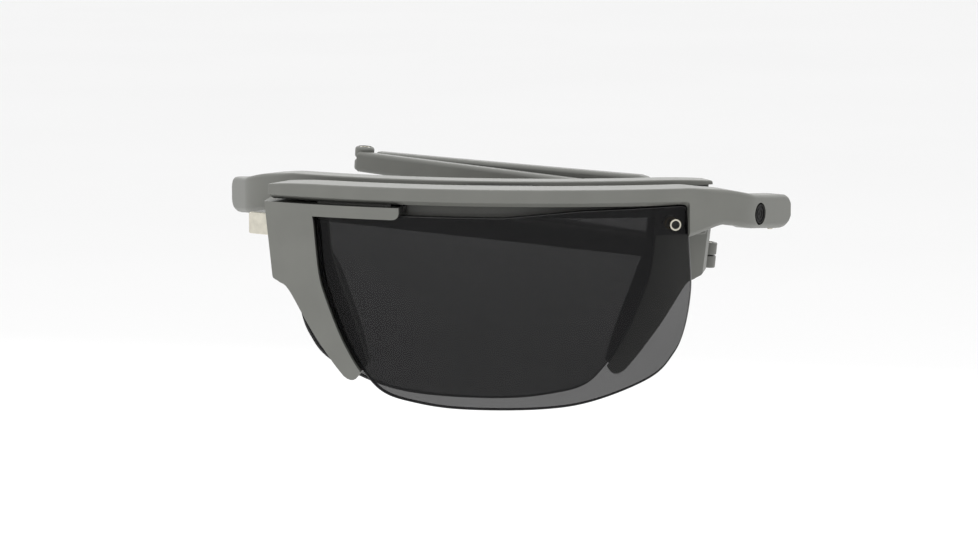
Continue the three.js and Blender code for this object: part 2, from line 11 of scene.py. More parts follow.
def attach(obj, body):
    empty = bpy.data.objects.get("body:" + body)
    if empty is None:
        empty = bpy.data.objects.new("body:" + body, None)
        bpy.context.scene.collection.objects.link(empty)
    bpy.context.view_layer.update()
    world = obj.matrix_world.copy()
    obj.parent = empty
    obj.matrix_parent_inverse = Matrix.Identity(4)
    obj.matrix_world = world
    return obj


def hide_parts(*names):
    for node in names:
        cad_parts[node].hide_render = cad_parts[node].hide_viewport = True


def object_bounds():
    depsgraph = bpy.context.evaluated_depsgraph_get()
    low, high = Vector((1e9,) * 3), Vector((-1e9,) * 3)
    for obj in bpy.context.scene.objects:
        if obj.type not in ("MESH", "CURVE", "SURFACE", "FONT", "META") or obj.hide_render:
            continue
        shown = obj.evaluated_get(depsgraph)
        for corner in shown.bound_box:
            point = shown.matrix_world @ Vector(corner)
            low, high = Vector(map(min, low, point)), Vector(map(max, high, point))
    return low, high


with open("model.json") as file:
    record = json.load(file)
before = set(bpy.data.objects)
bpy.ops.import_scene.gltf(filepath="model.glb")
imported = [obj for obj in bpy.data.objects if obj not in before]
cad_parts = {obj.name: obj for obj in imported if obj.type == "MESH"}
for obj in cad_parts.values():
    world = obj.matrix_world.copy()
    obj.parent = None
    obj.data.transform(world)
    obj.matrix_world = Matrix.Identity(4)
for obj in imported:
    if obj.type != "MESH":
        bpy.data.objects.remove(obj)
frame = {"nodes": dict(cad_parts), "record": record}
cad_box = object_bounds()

MM = 0.001
NODES = frame["nodes"]

# ---- dimensions in millimetres, the same as the CAD's ----
GAP = 0.3  # between pieces that touch
FINE = 0.15  # between pieces that turn or slide on each other
# The two halves: the bar's front radius and depth, the half's lift and turn about the arc's centre, the bar's
# nasal end, the rounding of the knuckle, the depth the pad reaches, how far the underside of the bent end is
# raised, the temple's length to the knuckle, its plan angle and slope when folded, and the height of the
# knuckle's parting line.
LEFT = {"name": "left", "mirror": 1, "radius": 90, "depth": 6.6, "lift": 0, "turn": 0, "nasal": -40.2,
        "rim": 0.55, "pad": 9.3, "sole": 0.5, "temple": 81, "fold": 157.8, "slope": 3.8, "knuckle": 0.4}
RIGHT = {"name": "right", "mirror": -1, "radius": 80, "depth": 4.6, "lift": 0.35, "turn": -2.5,
         "nasal": -41.2, "rim": 0.2, "pad": 7.4, "sole": 0, "temple": 82.7, "fold": 183,
         "slope": -5.2, "knuckle": -0.4}
CENTRE_Y = LEFT["radius"] - LEFT["depth"] / 2
BAR = {"temple": 33.9, "height": 3, "face": 2.2, "bevel": 1.4, "corner": 0.3, "drop": 0.42, "from": -31}
LENS = {"front": 1.4, "back": 3.2}  # depths behind the bar's front face
BRACKET = {"front": 0.1, "lip": 1.1, "flange": 3.5, "back": 5.4}
FINGER = {"top": -3.45, "lower": -4.6, "lip": -5.5, "end": -15.4}
TENON = {"near": -30, "far": -17, "front": 2, "back": 4, "top": -2.2}
SLIDE = {"centre": 0.4, "half": 4, "z": -1.35, "neck": 0.45, "head": 0.75, "neck_deep": 0.5, "head_deep": 1.7}
ELBOW = {"reach": 12.6, "drop": 2.76, "bend": 42.9, "handle": 6.9, "tail": 3.2}
END_CORNER = 0.75
END_BEVEL = 0.7
END_SKIN = 0.8  # the bar's front wall beside the hinge
# Thickness, top and underside of the bent end at lengths beyond the bar.
END_PROFILE = [(2.6, 5.6, -0.2, -7.7), (5.9, 5, -0.45, -7), (7.8, 4.6, -0.72, -7.1), (10.4, 4.4, -1.2, -7.6),
               (13.1, 4.4, -1.7, -8.05), (17.1, 4.4, -2.15, -8.45), (22.9, 4.4, -2.65, -9),
               (24.7, 4.4, -2.9, -8.95), (25.5, 4.2, -3.3, -8.6), (26, 3.9, -3.9, -8)]
LIP = {"near": -14.6, "front": 3.5, "back": 5.6, "low": -5.2}
SHOULDER = {"near": 27, "far": 35.5, "low": -8.3, "back": 6.2}
HINGE = {"along": 9.9, "depth": 2.36, "z": -6.5, "lug": 2.1, "slot": 1.55, "tongue": 1.4, "radius": 1.4}
PIN = {"shaft": 0.5, "head": 1, "head_height": 0.5}
TEMPLE = {"start": 2.7, "thick": 2.6, "offset": 1.5, "tall": 4.8, "slim": 3.6}
REAR = {"length": 57, "near": 3.6, "far": 6.1, "rise": 0.6, "flare": 1.6}
KNUCKLE = {"radius": 1.75, "half": 2.2, "cover": 0.2}
BADGE = {"along": 1.6, "z": -5.2, "radius": 1.6, "thick": 0.5}
LENS_SCREW = {"x": 31, "z": -6.2, "head": 1, "shaft": 0.6, "clear": 0.85, "insert": 1.1}
TONGUE = {"inner": -34.5, "outer": -43.8, "top": -6.5, "bottom": -10.15, "front": 5.9, "back": 7.3}
# How far the sharp edges of each piece are rounded.
EDGE = {"bar": 0.25, "lens": 0.16, "bracket": 0.22, "tongue": 0.14, "hinge": 0.15, "knuckle": 0.2}
PARTING = 0.08  # from the knuckle's parting line to each lobe
OUT = 8  # how far a cutting tool reaches past the piece
# The lens's edge beside the nose, from the top down.
NASAL_EDGE = [(-30.5, -6.6), (-29.6, -15.1), (-28.2, -19.8), (-25.4, -26.4), (-22.2, -31.6)]


# ---- mesh tools ----
def face_out(bm):
    """Turns the faces of a closed mesh to point out."""
    bmesh.ops.recalc_face_normals(bm, faces=bm.faces)
    if bm.calc_volume(signed=True) < 0:
        bmesh.ops.reverse_faces(bm, faces=bm.faces)


def build(name, bm):
    """Turns a bmesh into an object in the scene."""
    face_out(bm)
    mesh = bpy.data.meshes.new(name)
    bm.to_mesh(mesh)
    bm.free()
    made = bpy.data.objects.new(name, mesh)
    bpy.context.scene.collection.objects.link(made)
    return made


def bake(piece):
    """Applies the modifiers of a piece."""
    graph = bpy.context.evaluated_depsgraph_get()
    mesh = bpy.data.meshes.new_from_object(piece.evaluated_get(graph))
    piece.modifiers.clear()
    old = piece.data
    piece.data = mesh
    bpy.data.meshes.remove(old)
    return piece


def join(piece, tool, operation="UNION"):
    """Joins a second closed piece to the first, or cuts it away, and removes the second."""
    modifier = piece.modifiers.new("join", "BOOLEAN")
    modifier.object = tool
    modifier.operation = operation
    modifier.solver = "MANIFOLD"
    bake(piece)
    bpy.data.objects.remove(tool, do_unlink=True)
    return piece


def cut(piece, tool):
    """Cuts a second closed piece out of the first."""
    return join(piece, tool, "DIFFERENCE")


def loft(name, rings):
    """A closed body through rings of points of equal count, with a flat cap at each end."""
    bm = bmesh.new()
    rows = [[bm.verts.new(p) for p in ring] for ring in rings]
    count = len(rows[0])
    for a, b in zip(rows, rows[1:]):
        for j in range(count):
            k = (j + 1) % count
            bm.faces.new((a[j], a[k], b[k], b[j]))
    bm.faces.new(rows[0])
    bm.faces.new(rows[-1])
    return build(name, bm)


def rounded(corners, radius, steps=4):
    """A polygon with each corner turned into an arc, as 2-D points."""
    points = []
    count = len(corners)
    for i, corner in enumerate(corners):
        here = Vector(corner)
        before = (Vector(corners[i - 1]) - here).normalized()
        after = (Vector(corners[(i + 1) % count]) - here).normalized()
        half_angle = before.angle(after) / 2
        reach = radius / math.tan(half_angle)
        middle = here + (before + after).normalized() * radius / math.sin(half_angle)
        start = here + before * reach - middle
        end = here + after * reach - middle
        turn = start.angle_signed(end)
        for s in range(steps + 1):
            angle = -turn * s / steps
            c, n = math.cos(angle), math.sin(angle)
            points.append((middle.x + start.x * c - start.y * n, middle.y + start.x * n + start.y * c))
    return points


def shrunk(points, amount):
    """2-D points drawn in towards the middle of their box by an amount."""
    xs = [p[0] for p in points]
    ys = [p[1] for p in points]
    cx, cy = (min(xs) + max(xs)) / 2, (min(ys) + max(ys)) / 2
    fx = 1 - 2 * amount / (max(xs) - min(xs))
    fy = 1 - 2 * amount / (max(ys) - min(ys))
    return [(cx + (x - cx) * fx, cy + (y - cy) * fy) for x, y in points]


def spline(points, steps=8):
    """A smooth open curve through 2-D points."""
    result = []
    for i in range(len(points) - 1):
        p0 = Vector(points[max(0, i - 1)])
        p1, p2 = Vector(points[i]), Vector(points[i + 1])
        p3 = Vector(points[min(len(points) - 1, i + 2)])
        for s in range(steps):
            t = s / steps
            q = 0.5 * (2 * p1 + (p2 - p0) * t + (2 * p0 - 5 * p1 + 4 * p2 - p3) * t * t
                       + (3 * p1 - p0 - 3 * p2 + p3) * t ** 3)
            result.append((q.x, q.y))
    result.append(tuple(points[-1]))
    return result


def quadratic(a, control, b, steps=6):
    """A curve from a to b that leans towards a control point, without its first point."""
    a, control, b = Vector(a), Vector(control), Vector(b)
    points = []
    for s in range(1, steps + 1):
        t = s / steps
        points.append(tuple(a.lerp(control, t).lerp(control.lerp(b, t), t)))
    return points


def lathe(name, profile, sides=48):
    """A body turned about the z axis from (radius, z) points that start and end on the axis."""
    bm = bmesh.new()
    rows = []
    for i in range(sides):
        angle = 2 * math.pi * i / sides
        rows.append([bm.verts.new((r * math.cos(angle), r * math.sin(angle), z)) for r, z in profile[1:-1]])
    low = bm.verts.new((0, 0, profile[0][1]))
    high = bm.verts.new((0, 0, profile[-1][1]))
    for i in range(sides):
        a, b = rows[i], rows[(i + 1) % sides]
        bm.faces.new((low, a[0], b[0]))
        for j in range(len(a) - 1):
            bm.faces.new((a[j], a[j + 1], b[j + 1], b[j]))
        bm.faces.new((a[-1], high, b[-1]))
    return build(name, bm)


def disc(radius, z0, z1, rim=0.0, sides=48):
    """A cylinder about the z axis, with rounded rims where rim is over 0."""
    if rim <= 0:
        return lathe("disc", [(0, z0), (radius, z0), (radius, z1), (0, z1)], sides)
    low = [(radius - rim + rim * math.sin(a), z0 + rim - rim * math.cos(a)) for a in arc_steps(5)]
    high = [(radius - rim + rim * math.cos(a), z1 - rim + rim * math.sin(a)) for a in arc_steps(5)]
    return lathe("disc", [(0, z0)] + low + high + [(0, z1)], sides)


def arc_steps(count):
    """The angles of a quarter turn."""
    return [math.pi / 2 * i / count for i in range(count + 1)]


def block(x0, x1, y0, y1, z0, z1):
    return loft("block", [[(x, y0, z0), (x, y1, z0), (x, y1, z1), (x, y0, z1)] for x in (x0, x1)])


def moved(piece, matrix):
    """Moves the points of a piece, and keeps its faces out under a mirror."""
    piece.data.transform(matrix)
    if matrix.determinant() < 0:
        piece.data.flip_normals()
    return piece


def shift(x, y, z):
    return Matrix.Translation((x, y, z))


def frame_at(point, x_axis, z_axis):
    """The matrix of a frame with its origin at a point."""
    z = Vector(z_axis).normalized()
    x = Vector(x_axis).normalized()
    y = z.cross(x)
    made = Matrix((x, y, z)).transposed().to_4x4()
    made.translation = point
    return made


# ---- one half, drawn about its arc centre as the wearer's left half ----
def across(x, radius):
    """Where an outline drawn on the left half's front face lies across a half of another radius."""
    return radius * math.sin(LEFT["radius"] * math.asin(x / LEFT["radius"]) / radius)


def smooth_rows(rows, step):
    """Rows of numbers, joined smoothly and read off every step of their first number."""
    result = []
    for i in range(len(rows) - 1):
        p0, p1, p2, p3 = rows[max(0, i - 1)], rows[i], rows[i + 1], rows[min(len(rows) - 1, i + 2)]
        count = max(1, round((p2[0] - p1[0]) / step))
        for s in range(count):
            t = s / count
            row = [p1[0] + (p2[0] - p1[0]) * t]
            for a, b, c, d in zip(p0[1:], p1[1:], p2[1:], p3[1:]):
                row.append(0.5 * (2 * b + (c - a) * t + (2 * a - 5 * b + 4 * c - d) * t * t
                                  + (3 * b - a - 3 * c + d) * t ** 3))
            result.append(row)
    result.append(list(rows[-1]))
    return result


def elbow_points(count=400):
    """The bend from the bar to its end, in plan: a cubic curve ahead and inward of the bar's end."""
    angle = math.radians(ELBOW["bend"])
    end = Vector((ELBOW["reach"], ELBOW["drop"]))
    handles = [Vector((0, 0)), Vector((ELBOW["handle"], 0)),
               end - ELBOW["tail"] * Vector((math.cos(angle), math.sin(angle))), end]
    points = []
    for i in range(count + 1):
        t = i / count
        points.append((1 - t) ** 3 * handles[0] + 3 * (1 - t) ** 2 * t * handles[1]
                      + 3 * (1 - t) * t * t * handles[2] + t ** 3 * handles[3])
    return points


ELBOW_POINTS = elbow_points()
ELBOW_LENGTHS = [0.0]
for first, second in zip(ELBOW_POINTS, ELBOW_POINTS[1:]):
    ELBOW_LENGTHS.append(ELBOW_LENGTHS[-1] + (second - first).length)
ELBOW_END = BAR["temple"] + ELBOW_LENGTHS[-1]


def place_at(radius, length):
    """The front face's point and direction in plan at a length from the middle of the arc."""
    angle = min(length, BAR["temple"]) / radius
    start = Vector((radius * math.sin(angle), -radius * math.cos(angle), 0))
    along = Vector((math.cos(angle), math.sin(angle), 0))
    if length <= BAR["temple"]:
        return start, along
    beyond = length - BAR["temple"]
    i = min(len(ELBOW_POINTS) - 1, max(1, bisect.bisect_left(ELBOW_LENGTHS, beyond)))
    share = min(1, (beyond - ELBOW_LENGTHS[i - 1]) / (ELBOW_LENGTHS[i] - ELBOW_LENGTHS[i - 1]))
    local = ELBOW_POINTS[i - 1].lerp(ELBOW_POINTS[i], share)
    tangent = (ELBOW_POINTS[i] - ELBOW_POINTS[i - 1]).normalized()
    local = local + tangent * max(0, length - ELBOW_END)
    inward = Vector((-along.y, along.x, 0))
    return start + along * local.x + inward * local.y, along * tangent.x + inward * tangent.y


def inward_of(ahead):
    """The direction in plan from the front face towards the back."""
    return Vector((-ahead.y, ahead.x, 0))


def section_ring(radius, length, section):
    """A (depth, z) section stood across the path at a length."""
    point, ahead = place_at(radius, length)
    inward = inward_of(ahead)
    return [Vector((point.x + inward.x * d, point.y + inward.y * d, z)) for d, z in section]


def arc_sweep(radius, front, back, low, high, start, end, step=1.5):
    """A rectangular section swept along the half's path between two lengths."""
    section = [(front, low), (back, low), (back, high), (front, high)]
    count = max(2, math.ceil((end - start) / step))
    lengths = [start + (end - start) * i / count for i in range(count + 1)]
    return loft("sweep", [section_ring(radius, length, section) for length in lengths])


def prism(outline, front, back):
    """An (x, z) outline made solid between two depths."""
    return loft("prism", [[(x, d, z) for x, z in outline] for d in (front, back)])


def bend(piece, radius, step=1.0):
    """Bends a piece drawn flat, as (x, depth, z), on to the half's shell. What was one x stays one x."""
    bm = bmesh.new()
    bm.from_mesh(piece.data)
    xs = [v.co.x for v in bm.verts]
    x = math.floor(min(xs)) + step
    while x < max(xs):
        geometry = bm.verts[:] + bm.edges[:] + bm.faces[:]
        bmesh.ops.bisect_plane(bm, geom=geometry, plane_co=(x, 0, 0), plane_no=(1, 0, 0), dist=1e-5)
        x += step
    for v in bm.verts:
        across_x = across(v.co.x, radius)
        v.co = (across_x, -math.sqrt((radius - v.co.y) ** 2 - across_x ** 2), v.co.z)
    face_out(bm)
    bm.to_mesh(piece.data)
    bm.free()
    return piece


def soften(piece, width, segments=3, angle=40):
    """Rounds the sharp edges of a piece for good."""
    modifier = piece.modifiers.new("soften", "BEVEL")
    modifier.width = width
    modifier.segments = segments
    modifier.limit_method = "ANGLE"
    modifier.angle_limit = math.radians(angle)
    return bake(piece)


def rectangle(x0, x1, z0, z1):
    return [(x0, z0), (x1, z0), (x1, z1), (x0, z1)]


def lens_outline(grow):
    """The lens, or the room for it where grow is over 0."""
    edge = [(x + GAP - grow, z) for x, z in NASAL_EDGE]
    low = [(-18.4, -35), (-13.2, -36.5), (-5, -37.4), (8.6, -37.2), (17.4, -35.8), (26.6, -32.1),
           (30.4, -28.2), (32.2, -24), (33.2, -17.5), (33, -11.5)]
    corner, end = (32.5, -3.6), (31.3, -2.8 + grow - GAP)
    outline = [(-30.6 - grow, -4.9 + grow)] + spline(edge + low, 8)
    outline += [corner] + quadratic(corner, (corner[0], end[1]), end)
    return outline + [(15, -3.7 + grow), (2, -4.9 + grow)]


def arm_outline():
    """The nose bracket's arm."""
    outer = [(-38.1, -15.9), (-37.9, -16.5), (-36.8, -17.1), (-35, -18.4), (-31.1, -24.7), (-27.4, -29.8),
             (-25.2, -32.4)]
    edge = list(reversed(NASAL_EDGE))
    outline = [(-39.5, FINGER["top"])] + spline(outer, 6)
    outline += quadratic(outer[-1], (-23.2, -34), edge[0])[:-1]
    return outline + spline(edge, 6) + [(-30.5, FINGER["top"])]


def flange_outline():
    """The bracket's flange behind the lens's nasal edge."""
    inner = [(-28.5, -6.8), (-27.9, -11.8), (-26.2, -16.9), (-24.2, -22.2), (-22.5, -27.3), (-21.5, -30.7)]
    outer = [(-24.2, -31.8), (-28.5, -24), (-31.5, -15), (-32, -6.8)]
    return spline(inner, 5) + quadratic(inner[-1], (-21.8, -32.3), outer[0])[:-1] + spline(outer, 5)


def pad_outline():
    """The nose pad, as a closed smooth curve."""
    points = [(-33.5, -12.5), (-34.2, -16.6), (-31.6, -22.5), (-27.8, -28), (-24.6, -31.6), (-22, -31.4),
              (-22.9, -26), (-25, -20), (-27.6, -13.8), (-30.2, -11.6)]
    steps = 6
    wrapped = points[-2:] + points + points[:2]
    return spline(wrapped, steps)[2 * steps:-2 * steps]


def lens_screw_frame(half):
    x = across(LENS_SCREW["x"], half["radius"])
    angle = math.asin(x / half["radius"])
    outward = Vector((math.sin(angle), -math.cos(angle), 0))
    point = outward * (half["radius"] - SHOULDER["back"]) + Vector((0, 0, LENS_SCREW["z"]))
    return frame_at(point, (0, 0, 1), outward)


def hinge_frames(half):
    """The frames of the fork, along the bar's end, and of the folded temple. Both have z along the pin."""
    point, ahead = place_at(half["radius"], ELBOW_END + HINGE["along"])
    at = point + inward_of(ahead) * HINGE["depth"]
    at.z = HINGE["z"]
    plan, slope = math.radians(half["fold"]), math.radians(half["slope"])
    folded = Vector((math.cos(plan) * math.cos(slope), math.sin(plan) * math.cos(slope), math.sin(slope)))
    axis = ahead.cross(folded).normalized()
    return frame_at(at, ahead, axis), frame_at(at, folded, axis)


def badge_frame(half):
    point, ahead = place_at(half["radius"], ELBOW_END + BADGE["along"])
    point.z = BADGE["z"]
    return frame_at(point, ahead, -inward_of(ahead))


def bar_section(thick, top, low, slope_depth, slope_height, corner):
    points = [(slope_depth, low), (thick, low), (thick, top), (0, top), (0, low + slope_height)]
    return rounded(points, corner)


def bar_rings(half):
    """The brow bar and its bent end, from the nasal end to the ear."""
    radius, depth = half["radius"], half["depth"]
    slope = (BAR["bevel"], BAR["height"] - BAR["face"], BAR["corner"])
    rings = []
    start, end = half["nasal"], BAR["temple"] - 0.7
    full = start + 0.3
    lengths = [start, start + 0.08, full]
    count = round(end - start)
    lengths += [full + (end - start - 0.3) * i / count for i in range(1, count + 1)]
    for i, length in enumerate(lengths):
        drop = max(0, (BAR["from"] - length) / (BAR["from"] - start)) ** 2 * BAR["drop"]
        section = bar_section(depth, -drop, -BAR["height"], *slope)
        if i < 2:
            section = shrunk(section, (0.28, 0.12)[i])
        rings.append(section_ring(radius, length, section))
    for before_end, deeper in ((0.5, 0.03), (0.3, 0.12), (0.15, 0.28), (0.04, 0.6)):
        section = bar_section(depth, 0, -BAR["height"] - deeper, *slope)
        rings.append(section_ring(radius, BAR["temple"] - before_end, section))
    for beyond, thick, top, low in smooth_rows([(0, depth, 0, SHOULDER["low"])] + END_PROFILE, 0.5):
        blend = min(1, beyond / END_PROFILE[1][0])
        raised = low + half["sole"] * blend
        corner = BAR["corner"] + (END_CORNER - BAR["corner"]) * blend
        section = bar_section(thick, top, raised, END_BEVEL, END_BEVEL, corner)
        rings.append(section_ring(radius, BAR["temple"] + beyond, section))
    return rings


def slide_slot(half):
    """The tools that cut the T-shaped slot: in the left bar's back, and in the right bar's front."""
    in_back = half is LEFT
    face = half["depth"] if in_back else 0
    into = -1 if in_back else 1
    stop_angle = half["mirror"] * SLIDE["centre"] + SLIDE["half"] + 0.5 + half["turn"]
    stop = math.radians(stop_angle) * half["radius"]
    z = SLIDE["z"] - half["lift"]
    play = 0.2
    neck = (-1, SLIDE["neck_deep"], SLIDE["neck"] + play)
    head = (SLIDE["neck_deep"] - 0.05, SLIDE["head_deep"] + GAP, SLIDE["head"] + play)
    tools = []
    for start, end, reach in (neck, head):
        front, back = sorted((face + into * start, face + into * end))
        tools.append(arc_sweep(half["radius"], front, back, z - reach, z + reach, half["nasal"] - 2, stop))
    return tools


def fork_tools(half):
    """The tools that shape the fork at the bar's end and clear the folded temple."""
    fork, temple = hinge_frames(half)
    skin = END_SKIN - HINGE["depth"]
    beyond = cut(block(0, OUT, skin, OUT, -OUT, OUT), disc(HINGE["lug"], -OUT - 1, OUT + 1))
    slot = block(-3.2, OUT + 0.5, skin - 0.001, OUT + 0.5, -HINGE["slot"], HINGE["slot"])
    tools = [beyond, slot, disc(PIN["shaft"] + FINE, -OUT, OUT), disc(PIN["head"] + FINE, 2.2, OUT)]
    folded = block(TEMPLE["start"] - GAP, 30, -2, 2.3, -3, 3)
    return [moved(tool, fork) for tool in tools] + [moved(folded, temple)]


def brow_bar(half):
    """The bar with its bent end, the shoulder for the lens screw and the wall behind the lens's top."""
    radius = half["radius"]
    body = loft("bar", bar_rings(half))
    behind_lens = LENS["back"] + GAP
    shoulder = rectangle(SHOULDER["near"], SHOULDER["far"], SHOULDER["low"], -2.8)
    wall = rectangle(LIP["near"], SHOULDER["near"] + 1, LIP["low"], -2.5)
    mortise = rectangle(TENON["near"] - GAP, TENON["far"] + GAP, -4, TENON["top"] + GAP)
    wall_back = min(LIP["back"], half["depth"] - 0.2)
    join(body, bend(soften(prism(shoulder, behind_lens, SHOULDER["back"]), EDGE["bar"]), radius))
    join(body, bend(soften(prism(wall, LIP["front"], wall_back), EDGE["bar"]), radius))
    cuts = fork_tools(half) + slide_slot(half)
    cuts.append(bend(prism(mortise, TENON["front"] - GAP, TENON["back"] + GAP), radius))
    cuts.append(moved(disc(LENS_SCREW["insert"] + GAP, -1, OUT), lens_screw_frame(half)))
    cuts.append(bend(prism(lens_outline(GAP), -1, behind_lens), radius))
    if half is LEFT:
        cuts.append(moved(disc(BADGE["radius"] + GAP, -BADGE["thick"] - GAP, 5), badge_frame(half)))
    for tool in cuts:
        cut(body, tool)
    return body


def lens(half):
    """The lens, with its ground edge marked for the second material."""
    body = soften(prism(lens_outline(0), LENS["front"], LENS["back"]), EDGE["lens"], segments=2)
    for face in body.data.polygons:
        face.material_index = 0 if abs(face.normal.y) > 0.95 else 1
    bend(body, half["radius"])
    return cut(body, moved(disc(LENS_SCREW["clear"], -2, 12), lens_screw_frame(half)))


def nose_bracket(half):
    """The arm, the finger above the lens with its lip, the flange behind the lens and the bar's tenon."""
    root, finger_end = -31, FINGER["end"]
    upper = rectangle(root, finger_end, FINGER["lower"], FINGER["top"])
    corner = 1.3
    lip = [(root, FINGER["lip"]), (finger_end - corner, FINGER["lip"])]
    lip += quadratic(lip[-1], (finger_end, FINGER["lip"]), (finger_end, FINGER["lip"] + corner))
    lip += [(finger_end, FINGER["top"]), (root, FINGER["top"])]
    tenon = rectangle(TENON["near"], TENON["far"], FINGER["top"] - 0.5, TENON["top"])
    body = prism(arm_outline(), BRACKET["front"], BRACKET["back"])
    join(body, prism(upper, BRACKET["front"], BRACKET["back"] - 0.05))
    join(body, prism(flange_outline(), BRACKET["flange"], BRACKET["back"] - 0.02))
    cut(body, prism(lens_outline(GAP - 0.03), -1, BRACKET["flange"]))
    join(body, prism(lip, BRACKET["front"] + 0.01, BRACKET["lip"]))
    join(body, prism(tenon, TENON["front"], TENON["back"]))
    return bend(soften(body, EDGE["bracket"]), half["radius"])


def nose_pad(half):
    thick = half["pad"] - BRACKET["back"] - GAP
    body = prism(pad_outline(), BRACKET["back"] + GAP, half["pad"])
    return bend(soften(body, min(0.95, thick * 0.42), segments=5), half["radius"])


def six_lobe(radius, depth_low, depth_high, sides=72):
    """The tool that cuts a screw's six-lobed recess."""
    points = []
    for i in range(sides):
        angle = 2 * math.pi * i / sides
        r = radius * (0.86 + 0.14 * math.cos(6 * angle))
        points.append((r * math.cos(angle), r * math.sin(angle)))
    return loft("recess", [[(x, y, z) for x, y in points] for z in (depth_low, depth_high)])


def screw(head, head_height, shaft, length):
    """A screw with a rounded head, a raised rim and a six-lobed recess, with painted shade marked on the
    recess as the second material.
    """
    rim = 0.12 * head
    profile = [(0, -length), (shaft - 0.08, -length), (shaft, -length + 0.08), (shaft, -head_height)]
    profile += [(head - 0.04, -head_height), (head, -head_height + 0.04)]
    profile += [(head - rim + rim * math.cos(a), -rim + rim * math.sin(a)) for a in arc_steps(5)]
    profile += [(0.78 * head, -0.01), (0.7 * head, -0.06 * head), (0, -0.06 * head)]
    recess = 0.64 * head
    body = cut(lathe("screw", profile), six_lobe(recess, -0.38 * head_height - 0.1, 1))
    # The recess's faces get the second material, a painted shade.
    for face in body.data.polygons:
        middle = face.center
        within = math.hypot(middle.x, middle.y) < recess + 0.02 * head
        below_rim = -head_height < middle.z < -0.03 * head
        face.material_index = 1 if within and below_rim else 0
    return body


def lens_screw(half):
    top = SHOULDER["back"] - LENS["front"] + 0.6
    made = screw(LENS_SCREW["head"], 0.55, LENS_SCREW["shaft"], top - 0.8)
    return moved(made, lens_screw_frame(half) @ shift(0, 0, top))


def badge():
    """A disc with a raised rim and a plain ring."""
    r = BADGE["radius"]
    floor, ring = -0.14, -0.06
    profile = [(0, -BADGE["thick"]), (r, -BADGE["thick"]), (r, -0.06), (r - 0.06, 0), (r - 0.2, 0)]
    profile += [(r - 0.26, floor), (0.62 * r, floor), (0.6 * r, ring), (0.46 * r, ring), (0.44 * r, floor)]
    profile += [(0.2 * r, floor), (0.14 * r, ring - 0.01), (0, ring)]
    return moved(lathe("badge", profile, 64), badge_frame(LEFT))


def tongue():
    outline = rounded(rectangle(TONGUE["outer"], TONGUE["inner"], TONGUE["bottom"], TONGUE["top"]), 0.3)
    body = soften(prism(outline, TONGUE["front"], TONGUE["back"]), EDGE["tongue"])
    return bend(body, LEFT["radius"])


# ---- the temples, in the hinge's frame, folded ----
def temple_ring(x, y0, y1, height, z, corner=0.7, inset=0.0):
    """A rounded section across the temple, drawn in by the inset."""
    section = rounded(rectangle(y0, y1, z - height / 2, z + height / 2), corner)
    return [(x, y, w) for y, w in (shrunk(section, inset) if inset else section)]


def knuckle_at(half):
    """Where the rear segment's strap ends, clear of the knuckle's barrel."""
    return half["temple"] - KNUCKLE["radius"] - GAP


def pin_bore():
    return disc(PIN["shaft"] + FINE, -5, 5)


def closing_rings(end, y0, y1, height):
    """The last rings of a strap, drawn in to round its end."""
    return [temple_ring(x, y0, y1, height, 0, inset=inset) for x, inset in ((end - 0.1, 0.12), (end, 0.35))]


def front_strap(half):
    """The front segment without its hinge and knuckle."""
    start, end = TEMPLE["start"], half["temple"] + KNUCKLE["cover"]
    offset, tall, slim = TEMPLE["offset"], TEMPLE["tall"], TEMPLE["slim"]
    h = TEMPLE["thick"] / 2
    first = 0.6
    rows = [(start + 0.5, 0.62, 4.5), (start + 1.5, 0.7, tall), (8, 1.1, tall), (14, offset, tall - 0.1),
            (end - 0.35, offset, slim)]
    rings = [temple_ring(start, first - h, first + h, 3.8, 0, inset=0.3),
             temple_ring(start + 0.15, first - h, first + h, 4.1, 0, inset=0.1)]
    rings += [temple_ring(x, centre - h, centre + h, height, 0) for x, centre, height in linear_rows(rows, 2)]
    return loft("temple", rings + closing_rings(end, offset - h, offset + h, slim))


def temple_front(half):
    """The front segment: the tongue in the fork, the strap and the knuckle's upper lobe."""
    z = half["knuckle"]
    to_knuckle = shift(half["temple"], 0, 0)
    lobe = disc(KNUCKLE["radius"], z + PARTING, z + KNUCKLE["half"], half["rim"])
    neck = block(0, TEMPLE["start"] + 1, -0.6, 1.4, -HINGE["tongue"], HINGE["tongue"])
    body = front_strap(half)
    cut(body, moved(disc(KNUCKLE["radius"] + FINE, -5, z + PARTING), to_knuckle))
    join(body, soften(neck, EDGE["hinge"]))
    join(body, disc(HINGE["radius"], -HINGE["tongue"], HINGE["tongue"], 0.12))
    join(body, moved(lobe, to_knuckle))
    cut(body, pin_bore())
    cut(body, moved(pin_bore(), to_knuckle))
    return cut(body, moved(disc(PIN["head"] + FINE, z + KNUCKLE["half"] - 0.7, 9), to_knuckle))


def linear_rows(rows, step):
    """Rows of numbers, joined by straight lines and read off about every step of their first number."""
    result = []
    for a, b in zip(rows, rows[1:]):
        count = max(1, round((b[0] - a[0]) / step))
        result += [[p + (q - p) * i / count for p, q in zip(a, b)] for i in range(count)]
    return result + [list(rows[-1])]


def rear_face(half, x):
    """The rear segment's outer face: it bows away from the front segment towards its tip."""
    return -0.2 - REAR["flare"] * ((knuckle_at(half) - x) / REAR["length"]) ** 2


